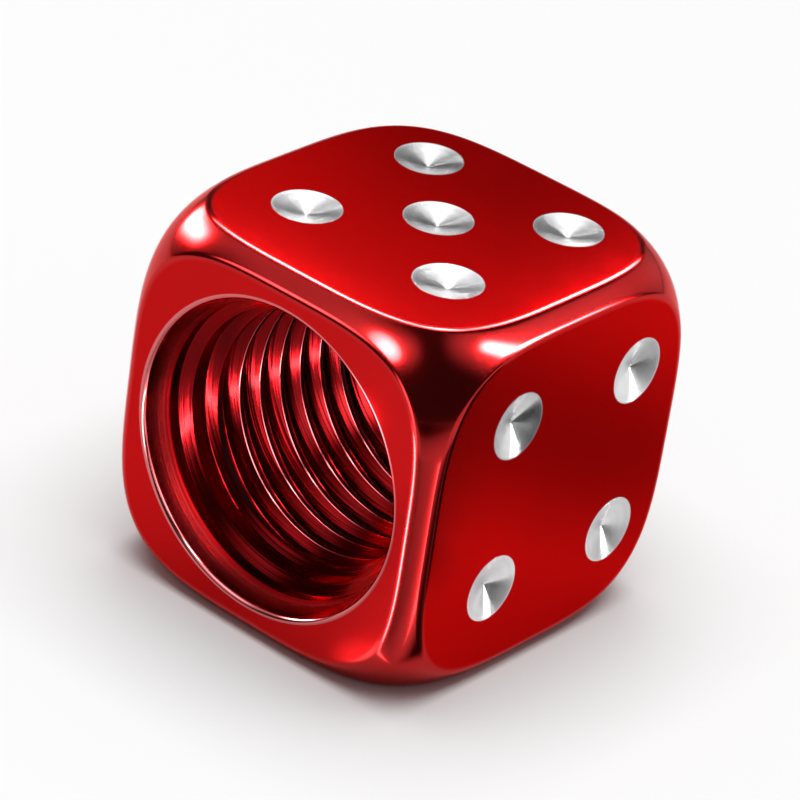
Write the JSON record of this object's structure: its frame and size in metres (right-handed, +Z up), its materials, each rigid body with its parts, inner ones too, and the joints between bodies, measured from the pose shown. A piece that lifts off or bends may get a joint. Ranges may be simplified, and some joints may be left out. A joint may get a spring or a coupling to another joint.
{
  "type": "tyre valve cap",
  "caption": "Die-shaped metal tyre valve cap: a cube with rounded corners and pips, a stepped blind threaded hole in one face and a rubber sealing washer at its end.",
  "frame": {"origin": "middle of the flat that the cap rests on", "axes": "+Z up, square to the resting flat; the threaded hole's axis lies along Y and its mouth faces -Y"},
  "size_m": [0.0104, 0.0104, 0.0105],
  "materials": {
    "red_anodised": "satin red anodised flats, polished edges and corners, bright bare metal in the pips",
    "seal_rubber": "matte black"
  },
  "bodies": {
    "root": {"cap_body": "red_anodised", "seal_washer": "seal_rubber"}
  },
  "joints": []
}
